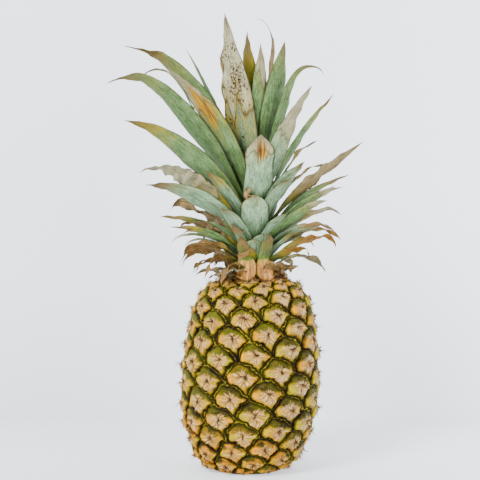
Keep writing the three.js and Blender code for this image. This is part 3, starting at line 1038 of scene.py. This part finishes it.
def draw_blade(name, blank, look, seed, shift=lambda points: points):
    course, tip = blank
    knots = np.r_[0.95 * np.arange(len(course)) / (len(course) - 1), 1.0]
    course = np.concatenate([course, np.tile(tip, (1, 5, 1))])
    s = np.linspace(0, 0.995, ROWS_ALONG)
    sheet = np.einsum("rk,kcx->rcx", curve_weights(s, knots), course)
    sheet = np.einsum("ac,rcx->rax", CROSS_WEIGHTS, sheet)
    centre = sheet[:, MIDRIB]
    length = np.linalg.norm(np.diff(centre, axis=0), axis=1).sum() / MM
    half_width = np.linalg.norm(sheet[:, -1] - sheet[:, 0], axis=1) / 2 / MM
    heading = unit(np.gradient(centre, axis=0))

    # the dead part: shrunk, rolled up and twisted round its own line
    edge = look["dry"] + 0.05 * ripple(np.stack([ACROSS * 2, 0 * ACROSS], 1), 1.5, seed)
    dead = ease(s[:, None], edge[None] - 0.07, edge[None] + 0.1)
    dead_middle = ease(s, look["dry"], 1.05)
    arm = (sheet - centre[:, None]) * look["plump"]
    shrink = 1 - 0.3 * look["roll"] * dead_middle + look["blunt"] * ease(s, 0.55, 0.95)
    roll_in = look["roll"] * dead_middle[:, None] * 1.1 * ACROSS[None]
    arm = turned(arm * shrink[:, None, None], heading[:, None], -roll_in)
    twist_luck = ripple(np.stack([s * 3, 0 * s + seed], 1), 1.0, seed + 1)
    arm = turned(arm, heading[:, None], (0.9 * look["crumple"] * dead_middle * twist_luck)[:, None])
    normal = unit(np.cross(heading[:, None], np.gradient(arm, axis=1)))

    # waves: small along live margins, strong in the dead part
    where = np.broadcast_arrays(s[:, None] * length, ACROSS[None] * half_width[:, None])
    where = np.stack(where, -1)
    margin_wave = (0.35 + 1.3 * dead) * ACROSS[None] ** 2 * ripple(where, 17, seed + 2)
    folds = 1.0 * ripple(where, 11, seed + 3) + 0.5 * ripple(where, 5, seed + 4)
    crumple = look["crumple"] * dead * folds
    fade = ease(s, 0.04, 0.25)[:, None] * np.minimum(1, half_width / 6)[:, None]
    sway = MM * (1.6 * look["crumple"] * dead_middle * twist_luck)
    centre = centre + sway[:, None] * normal[:, MIDRIB]
    torn = np.clip(ripple(where, 4, seed + 5), 0, 1)
    nicks = look["ragged"] * dead * np.abs(ACROSS)[None] ** 4 * torn
    waves = MM * (fade * (margin_wave + crumple))
    sheet = centre[:, None] + arm * (1 - 0.35 * nicks)[..., None] + waves[..., None] * normal

    # thickness: an outer and an inner side, joined into rings and closed at both ends
    thick = 0.46 * (1 - 0.6 * s)[:, None] * (1 - 0.9 * ACROSS[None] ** 4) * (1 - 0.45 * dead)
    outer = sheet - MM * thick[..., None] * normal
    inner = sheet + MM * thick[..., None] * normal
    ring = np.concatenate([outer, inner[:, -2:0:-1]], axis=1)
    columns = ring.shape[1]
    points = np.concatenate([ring.reshape(-1, 3), centre[-1:] + 0.4 * MM * heading[-1:]])
    faces = grid_faces(ROWS_ALONG, columns)
    last = (ROWS_ALONG - 1) * columns
    faces += [[last + c, last + (c + 1) % columns, len(points) - 1] for c in range(columns)]
    faces.append(list(range(columns))[::-1])
    blade = mesh_piece(name, shift(points), faces)

    # notes for the material
    across_mm = round_ring(ACROSS[None] * half_width[:, None] + 37.0 * (seed % 23))
    along_mm = round_ring(s[:, None] * length)
    inner_side = round_ring(0.0, 1.0)
    note(blade, "blade_place", "POINT", np.stack([across_mm, along_mm, inner_side], -1))
    margins = 0.25 * hill(np.abs(ACROSS)[None], 1.0, 0.14)
    near_edge = hill(s[:, None], edge[None] - 0.01, 0.13) + margins
    bloom = look["bloom"] * (0.62 + 0.38 * ease(s[:, None], 0.1, 0.6))
    note_sheet(blade, "blade_age", dead, bloom, look["yellow"] * near_edge)
    patch = hill(s[:, None], look["stain_at"], 0.15) * hill(ACROSS[None], 0.1, 0.5)
    foot = look["lime"] * ease(0.6 - s[:, None], 0.0, 0.5)
    note_sheet(blade, "blade_mark", look["speck"], look["stain"] * patch, foot)
    note_sheet(blade, "blade_edge", np.abs(ACROSS)[None], s[:, None], 0.0)
    note_sheet(blade, "blade_tone", look["tan"], look["grey"], (seed * 0.618) % 1)
    return blade


print("each blade has", ROWS_ALONG * 2 * (len(ACROSS) - 1), "faces")

# %% [markdown]
# ### What a leaf looks like
# A living leaf is green inside and dusted white outside, with fine lines running its whole length.
# Where it dies it first yellows, then turns tan or grey with dark lines. One shared node group does
# all of this from the notes on the blade, and the three materials only hand it different greens.

# %% Node group: the colours of a blade
tree, given, made = new_group(
    "blade colours",
    {
        "Outside": (COLOUR, colour(0.13, 0.22, 0.13)),
        "Inside": (COLOUR, colour(0.05, 0.12, 0.03)),
        "Dust": (COLOUR, colour(0.55, 0.62, 0.56)),
    },
    {"Colour": (COLOUR, None), "Roughness": (FLOAT, None), "Height": (FLOAT, None)},
)
blade_group = tree
blade_across, blade_along, inner_side = tree.note_parts("blade_place")
dead, bloom, yellow = tree.note_parts("blade_age")
speckled, stain, foot = tree.note_parts("blade_mark")
tan, grey, luck = tree.note_parts("blade_tone")
offset = tree.times(luck, 90.0)
edge_share, along_share, _ = tree.note_parts("blade_edge")
# the outermost strip of each margin, where a dark line of painted shadow goes
edge_shadow = tree.ramp(edge_share, 0.88, 1.0)
lines = tree.noise(tree.stack(blade_across, tree.times(blade_along, 0.03), offset), 1.5, 3.0, 0.6)
hairlines = tree.noise(tree.stack(blade_across, tree.times(blade_along, 0.05), offset), 3.6, 2.0, 0.6)
clouds = tree.noise(tree.stack(tree.times(blade_across, 1.4), blade_along, offset), 0.09, 4.0, 0.6)
dust_grain = tree.noise(tree.stack(blade_across, tree.times(blade_along, 0.5), offset), 2.2, 3.0, 0.7)
live = tree.blend(inner_side, given["Outside"], given["Inside"])
live = tree.blend(tree.ramp(lines, 0.42, 0.58), live, pigment(0.1, 0.2, 0.04), 0.8)
live = tree.blend(tree.ramp(clouds, 0.42, 0.62), live, pigment(0.24, 0.4, 0.1), 0.5)
ribs = tree.noise(tree.stack(blade_across, tree.times(blade_along, 0.012), offset), 0.55, 1.0, 0.4)
live = tree.blend(tree.ramp(ribs, 0.48, 0.62), live, pigment(0.08, 0.15, 0.04), 0.5)
dusty = tree.ramp(tree.times_plus(clouds, 0.6, dust_grain), 0.6, 0.95)
dusty = tree.plus(tree.times(dusty, 0.85), 0.15)
dusty = tree.times(dusty, bloom, tree.times_plus(inner_side, -0.6, 1.0))
live = tree.blend(dusty, live, given["Dust"])
live = tree.blend(tree.ramp(hairlines, 0.47, 0.6), live, pigment(0.13, 0.16, 0.06), 0.72)
wear_place = tree.stack(blade_across, tree.times(blade_along, 0.22), offset)
wear = tree.ramp(tree.noise(wear_place, 0.4, 5.0, 0.72), 0.53, 0.66)
live = tree.blend(wear, live, pigment(0.19, 0.2, 0.08), 0.65)
# painted shade: the blade turns darker green towards its foot, where the leaves crowd in on one
# another
deep = tree.ramp(along_share, 0.34, 0.02)
live = tree.blend(deep, live, pigment(0.1, 0.19, 0.03), 0.5)
live = tree.blend(foot, live, pigment(0.62, 0.82, 0.1), 0.9)
turning = tree.times(yellow, tree.ramp(tree.plus(lines, clouds), 0.8, 1.1))
live = tree.blend(turning, live, pigment(0.55, 0.45, 0.02), 1.4)
husk = tree.blend(tan, pigment(0.23, 0.19, 0.11), pigment(0.72, 0.41, 0.1))
husk = tree.blend(grey, husk, pigment(0.86, 0.82, 0.58))
shade = tree.ramp(tree.times_plus(clouds, 0.8, lines), 0.7, 1.1)
shade = tree.times(shade, tree.times_plus(grey, -0.45, 1.0))
husk = tree.blend(shade, husk, pigment(0.14, 0.09, 0.03), 0.8)
husk = tree.blend(tree.ramp(hairlines, 0.48, 0.62), husk, pigment(0.2, 0.16, 0.07), 0.5)
husk = tree.blend(tree.ramp(along_share, 0.8, 1.0), husk, pigment(0.17, 0.13, 0.07), 0.5)
skin = tree.blend(dead, live, husk)
rust = tree.blend(tree.ramp(lines, 0.45, 0.56), pigment(0.82, 0.5, 0.0), pigment(0.22, 0.09, 0.01))
skin = tree.blend(tree.times(stain, tree.ramp(tree.plus(lines, stain), 0.75, 1.15)), skin, rust)
skin = tree.blend(tree.times(turning, dead), skin, pigment(0.62, 0.5, 0.14), 0.7)
# painted shade of a fold: a dark line across the grey dead part, near where it starts
crease_shade = tree.bell(tree.calc("DIVIDE", tree.minus(dead, 0.3), 0.12))
skin = tree.blend(tree.times(crease_shade, grey), skin, pigment(0.24, 0.19, 0.11), 0.85)
# painted shadow: a dark line along both margins of every blade
skin = tree.blend(edge_shadow, skin, pigment(0.12, 0.1, 0.04), 0.85)
speck_place = tree.stack(blade_across, tree.times(blade_along, 0.8), offset)
freckles = tree.noise(speck_place, 0.42, 4.0, 0.8)
speck = tree.ramp(tree.times_plus(speckled, 0.1, freckles), 0.69, 0.73)
gathered = tree.plus(tree.ramp(clouds, 0.54, 0.6), tree.times(stain, 1.5))
speck = tree.times(speck, gathered)
skin = tree.blend(tree.times(speck, speckled), skin, pigment(0.12, 0.075, 0.035))
tree.plug(made["Colour"], skin)
tree.plug(made["Roughness"], tree.times_plus(dead, 0.15, tree.times_plus(bloom, 0.15, 0.5)))
height = tree.plus(tree.times(lines, 0.7), tree.times(hairlines, 0.5))
tree.plug(made["Height"], tree.times_plus(ribs, 1.4, height))
print("blade colours:", len(tree.nodes), "nodes")

# %% [markdown]
# Three finishes use the group: fresh green leaves, leaves dusted pale, and leaves that are mostly
# dry. Only three pigments differ, for the outside, the inside and the dust, so the rest is shared.

# %% Three leaf materials
LEAF_SKINS = {}
for slot_name, outside, inside, dust in (
    ("leaf_green", (0.18, 0.34, 0.09), (0.18, 0.36, 0.03), (0.56, 0.76, 0.44)),
    ("leaf_pale", (0.16, 0.32, 0.17), (0.1, 0.22, 0.03), (0.72, 0.94, 0.68)),
    ("leaf_dry", (0.16, 0.23, 0.07), (0.12, 0.17, 0.015), (0.5, 0.56, 0.36)),
):
    skin_material, tree, shader = new_material(slot_name + "_skin")
    pigments = {"Outside": pigment(*outside), "Inside": pigment(*inside), "Dust": pigment(*dust)}
    look = tree.use(blade_group, pigments)
    finish_surface(tree, shader, look["Colour"], look["Roughness"], look["Height"], 1.0, 0.0009)
    shader.inputs["Specular IOR Level"].default_value = 0.15
    LEAF_SKINS[slot_name] = skin_material
print("leaf materials:", list(LEAF_SKINS))

# %% [markdown]
# Now the crown grows: one blade for every blank, in the finish that its blank was given.

# %% Grow the crown
DRY_LEAVES = {1, 2, 3, 4, 5, 6, 7, 11, 12, 15, 16, 24, 26, 33, 35, 36, 39}
PALE_LEAVES = {8, 9, 10, 14, 19, 20, 23, 25, 27, 29, 30, 34, 41, 45, 50}


def slot_of(number):
    if number in DRY_LEAVES:
        return "leaf_dry"
    return "leaf_pale" if number in PALE_LEAVES else "leaf_green"


def clothe(blade, slot_name):
    dress(blade, LEAF_SKINS[slot_name])
    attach(blade, "root")


for number, blank in blanks.items():
    blade = draw_blade(f"blade_{number:02d}", blank, LOOKS.get(number, PLAIN), number)
    clothe(blade, slot_of(number))
    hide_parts(f"leaf_{number:02d}")
print("blades:", len(blanks))

# %% [markdown]
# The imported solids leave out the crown's smallest leaves. A few blades are drawn a second time,
# turned round the stem, to close the back of the crown and to crowd its foot with dead leaves.

# %% Second growth round the stem
STEM_REACH = 16 * MM  # within this distance of the axis nothing is scaled


def round_the_stem(turn, lift, size):
    """Moves a blade round the stem's axis, up or down by lift mm, and scales it from its foot."""
    cos = math.cos(math.radians(turn))
    sin = math.sin(math.radians(turn))
    axis = np.array([STEM_AXIS.x, STEM_AXIS.y, 0.0])

    def move(points):
        away = points - axis
        x = cos * away[..., 0] - sin * away[..., 1]
        y = sin * away[..., 0] + cos * away[..., 1]
        flat = np.stack([x, y], -1)
        foot = points[..., 2:].min()
        height = foot + (away[..., 2:] - foot) * size + lift * MM
        reach = np.linalg.norm(flat, axis=-1, keepdims=True)
        scaled = np.where(reach > STEM_REACH, STEM_REACH + (reach - STEM_REACH) * size, reach)
        flat = flat / np.maximum(reach, 1e-9) * scaled
        return np.concatenate([axis[:2] + flat, height], -1)

    return move


# blank to copy, degrees round the stem, mm up, size
SECOND_GROWTH = [
    (46, -112, -4, 0.95), (38, -92, -3, 0.8), (45, 150, -5, 0.95), (52, 100, -2, 0.95),
    (27, -128, 2, 0.9), (33, -70, 4, 0.85), (29, -100, -2, 1.0), (41, 176, -3, 1.0),
    (19, 150, -1, 1.1), (20, 170, 2, 1.2), (10, -110, 2, 1.2), (14, 120, 3, 1.2),
    (34, 110, 0, 1.0), (25, 178, 2, 1.2), (30, 140, -3, 1.1), (23, 95, 2, 1.0),
    (11, 22, -5, 0.9), (12, -14, -5, 1.0), (3, -22, 4, 1.0), (5, 20, 3, 1.1),
    (6, 40, -1, 0.9), (15, -30, -4, 0.8), (16, 26, -6, 0.8), (4, 20, 5, 0.9),
    (3, 34, 1, 0.8), (4, -26, 2, 1.1), (26, 14, -9, 0.8), (24, -22, -8, 0.85),
    (5, -60, 0, 1.0), (6, 110, 2, 1.0), (11, -90, 0, 1.0), (3, 160, 3, 1.2),
    (12, 70, -2, 0.9), (15, 140, 0, 0.9), (4, -140, 2, 1.2), (16, 90, -2, 0.9),
    (13, -16, -4, 0.9), (22, 14, -5, 0.9), (28, -16, -6, 0.9), (31, 14, -6, 0.9),
]
for extra, (number, turn, lift, size) in enumerate(SECOND_GROWTH, 1):
    name = f"second_blade_{extra:02d}"
    move = round_the_stem(turn, lift, size)
    blade = draw_blade(name, blanks[number], LOOKS.get(number, PLAIN), 100 + extra, move)
    clothe(blade, slot_of(number))
print("second growth:", len(SECOND_GROWTH), "blades")

# %% [markdown]
# Where the crown meets the fruit sits a collar of torn, curly scales. They are ribbons that start at
# the stem, lean outwards and droop over the fruit's shoulder, each with its own curl.

# %% Collar of dry shreds
SHREDS = 120
draw = np.random.default_rng(8)
collar = Pile()
for _ in range(SHREDS):
    side = draw.uniform(0, FULL_TURN)
    front = hill(math.sin(side), -1, 0.5)
    length = draw.uniform(8, 24) * (1 - 0.6 * front)
    steps = np.linspace(0, 1, 9)
    lean = draw.uniform(0.8, 1.5)
    droop = draw.uniform(0.6, 2.4)
    pitch = lean + droop * steps**1.5
    swing = side + draw.normal(0, 0.25) * steps * 2
    stride = length / 8
    out = draw.uniform(13, 17) + np.r_[0, np.cumsum(np.sin(pitch[1:]) * stride)]
    height = draw.uniform(0.5, 4.5) + np.r_[0, np.cumsum(np.cos(pitch[1:]) * stride)]
    shoulder = np.interp(out, [17, 27, 38, 47], [0.3, -0.2, -4, -13])
    height = np.maximum(height, shoulder + 1.2)
    line = MM * np.stack([out * np.cos(swing), out * np.sin(swing), height], -1)
    line = line + (STEM_AXIS.x, STEM_AXIS.y, STEM_FOOT)
    flat = np.stack([-np.sin(swing), np.cos(swing), 0 * swing], -1)
    heading = unit(np.gradient(line, axis=0))
    flat = unit(np.cross(np.cross(heading, flat), heading))
    flat = turned(flat, heading, draw.normal(0, 0.5) + draw.normal(0, 1.6) * steps)
    width = MM * draw.uniform(1.6, 6.0) * (1 - 0.85 * steps**1.6)
    tone = np.stack([0 * steps + draw.uniform(), steps, 0 * steps + draw.uniform()], -1)
    ribbon(collar, line, flat, width, 0.25 * MM, tone)
collar = collar.build("dry_collar", "shred_tone")
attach(collar, "root")
print("collar:", len(collar.data.polygons), "faces")

# %% [markdown]
# Dry husk runs from tan to grey brown, with darker specks where it has started to rot. The shreds
# already carry the same notes as the rays, so the material is built the same way.

# %% Material: shreds
shred_skin, tree, shader = new_material("shred_skin")
tone, along, age = tree.note_parts("shred_tone")
speck = tree.noise(tree.spot(), 420.0, 4.0)
husk = tree.blend(tone, pigment(0.5, 0.28, 0.08), pigment(0.95, 0.6, 0.22))
husk = tree.blend(tree.ramp(age, 0.55, 1.0), husk, pigment(0.5, 0.37, 0.2))
husk = tree.blend(tree.ramp(speck, 0.42, 0.62), husk, pigment(0.2, 0.11, 0.045), 0.65)
finish_surface(tree, shader, husk, 0.75, speck, 0.6, 0.0005)
dress(collar, shred_skin)
print("shred_skin:", len(tree.nodes), "nodes")

# %% [markdown]
# Two short, blunt scales stand against the front of the stem, fleshier than the rest and tan like
# fresh bark. Each is a flattened egg with its foot cut into the collar, streaked from top to bottom.

# %% Two blunt scales
LEVELS = 17
AROUND = 20
scales = Pile()
for side, outward, tall in ((-111, 19.5, 11.5), (-59, 20.0, 12.0)):
    side = math.radians(side)
    rings = []
    for height in np.linspace(-0.98, 0.98, LEVELS):
        girth = (1 - abs(height) ** 2.8) ** 0.5
        around = np.arange(AROUND) / AROUND * FULL_TURN
        wide = 8.9 * girth * (1 - 0.12 * height) * np.cos(around)
        deep = 2.6 * girth * np.sin(around) - 1.6 * height + 1.4 * height**2
        out = outward + deep - 0.012 * wide**2
        x = out * math.cos(side) - wide * math.sin(side)
        y = out * math.sin(side) + wide * math.cos(side)
        rings.append(np.stack([x, y, tall * (height + 1) + 0 * x + 0.6], -1))
    points = MM * np.concatenate(rings) + (STEM_AXIS.x, STEM_AXIS.y, STEM_FOOT)
    bottom = list(range(AROUND))[::-1]
    top = list(range(len(points) - AROUND, len(points)))
    faces = grid_faces(LEVELS, AROUND) + [bottom, top]
    scales.add(points, faces, np.tile((0.8, 0.5, 0.2), (len(points), 1)))
scales = scales.build("blunt_scales", "shred_tone")
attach(scales, "root")
print("scales:", len(scales.data.polygons), "faces")

# %% [markdown]
# The scales are streaked from top to bottom. Noise whose place is squeezed along the height comes out
# drawn into fibres, which is the quickest way to anything that grows in one direction. The crest is
# the part that still lives, so it turns green.

# %% Material: scales
scale_skin, tree, shader = new_material("scale_skin")
place_now = tree.spot()
x, y, z = tree.parts(place_now)
fibres = tree.noise(tree.stack(x, y, tree.times(z, 0.15)), 520.0, 3.0)
patches = tree.noise(place_now, 130.0, 3.0)
bark = tree.blend(tree.ramp(fibres, 0.38, 0.62), pigment(0.6, 0.31, 0.06), pigment(1.1, 0.68, 0.24))
bark = tree.blend(tree.ramp(patches, 0.52, 0.68), bark, pigment(0.42, 0.17, 0.03), 0.6)
crest = tree.ramp(z, STEM_FOOT + 14 * MM, STEM_FOOT + 25 * MM)
bark = tree.blend(crest, bark, pigment(0.6, 0.62, 0.12), 0.7)
finish_surface(tree, shader, bark, 0.6, fibres, 0.6, 0.0006)
dress(scales, scale_skin)
print("scale_skin:", len(tree.nodes), "nodes")

# %% [markdown]
# The stem and the cut stalk are plain round pieces, and the solids already have their shape. They
# only need a finish: fibres that run lengthwise on the stem, and the cut ends of the same fibres,
# seen end on, in the stalk.

# %% Stem and cut stalk
stem_skin, tree, shader = new_material("stem_skin")
x, y, z = tree.parts(tree.spot())
fibres = tree.noise(tree.stack(x, y, tree.times(z, 0.12)), 420.0, 3.0)
flesh = tree.blend(tree.ramp(fibres, 0.35, 0.65), pigment(0.3, 0.2, 0.09), pigment(0.62, 0.5, 0.26))
finish_surface(tree, shader, flesh, 0.7, fibres, 0.5, 0.0006)
dress(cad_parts["crown_stem"], stem_skin)

cut_skin, tree, shader = new_material("cut_skin")
place_now = tree.spot()
ends = tree.place("ShaderNodeTexVoronoi", {"Vector": place_now, "Scale": 900.0}).outputs["Distance"]
stale = tree.noise(place_now, 160.0, 3.0)
wood = tree.blend(tree.ramp(ends, 0.15, 0.45), pigment(0.36, 0.24, 0.12), pigment(0.66, 0.52, 0.32))
wood = tree.blend(tree.ramp(stale, 0.4, 0.65), wood, pigment(0.3, 0.2, 0.11), 0.6)
finish_surface(tree, shader, wood, 0.8, ends, 0.5, 0.0004)
dress(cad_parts["cut_stalk"], cut_skin)
print("stem and stalk finished")

# %% [markdown]
# ## The floor
# The fruit stands on pale plaster that turns up into a wall close behind it. The plaster glows a
# little, more up the wall and more to the right, which keeps the background bright and even without
# a light of its own. The wall shows from the front only, so the fruit can be looked at from behind.

# %% Floor and wall
WALL_AT = 0.235
FAR = 4
room = bpy.data.meshes.new("room")
corners = [
    (-FAR, -FAR, 0), (FAR, -FAR, 0), (FAR, WALL_AT, 0),
    (-FAR, WALL_AT, 0), (-FAR, WALL_AT, FAR), (FAR, WALL_AT, FAR),
]
room.from_pydata(corners, [], [(0, 1, 2, 3), (3, 2, 5, 4)])
floor = bpy.data.objects.new("floor", room)
bpy.context.scene.collection.objects.link(floor)

plaster, tree, shader = new_material("plaster")
shader.inputs["Base Color"].default_value = colour(0.6, 0.62, 0.64)
shader.inputs["Roughness"].default_value = 0.9
shader.inputs["Emission Color"].default_value = colour(0.9, 0.97, 1.02)
x, y, z = tree.parts(tree.spot())
glow = tree.times_plus(tree.ramp(z, 0.0, 0.15), 0.38, 0.6)
glow = tree.times_plus(tree.ramp(x, -0.15, 0.3), 0.5, glow)
tree.plug(shader.inputs["Emission Strength"], glow)
see_through = tree.place("ShaderNodeBsdfTransparent").outputs[0]
from_behind = tree.place("ShaderNodeNewGeometry").outputs["Backfacing"]
sides = {0: from_behind, 1: shader.outputs[0], 2: see_through}
one_sided = tree.place("ShaderNodeMixShader", sides).outputs[0]
tree.plug(tree.nodes["Material Output"].inputs["Surface"], one_sided)
dress(floor, plaster)
print("the wall stands", round(1000 * WALL_AT), "mm behind the middle of the fruit")

# %% [markdown]
# ## The light
# A big soft window on the left does most of the work and a weaker one on the right fills the shadows.
# Large squares give shadows with soft edges, as daylight in a room does. The sky behind everything is
# nearly white and lights the sides that neither window reaches.

# %% Sky and windows
sky = bpy.data.worlds.new("sky")
sky.use_nodes = True
sky_inputs = sky.node_tree.nodes["Background"].inputs
sky_inputs["Color"].default_value = colour(0.96, 0.98, 1.0)
sky_inputs["Strength"].default_value = 0.8
bpy.context.scene.world = sky


def soft_light(name, where, size, power):
    """A square light, size metres wide, that looks at the middle of the fruit."""
    lamp = bpy.data.lights.new(name, "AREA")
    lamp.shape = "SQUARE"
    lamp.size = size
    lamp.energy = power
    light = bpy.data.objects.new(name, lamp)
    light.location = where
    light.rotation_euler = (aim - Vector(where)).to_track_quat("-Z", "Y").to_euler()
    bpy.context.scene.collection.objects.link(light)


soft_light("window", (-1.5, -1.9, 2.1), 1.0, 168)
soft_light("fill", (1.9, -2.0, 1.0), 1.4, 56)
print("lights:", [light.name for light in bpy.data.lights])
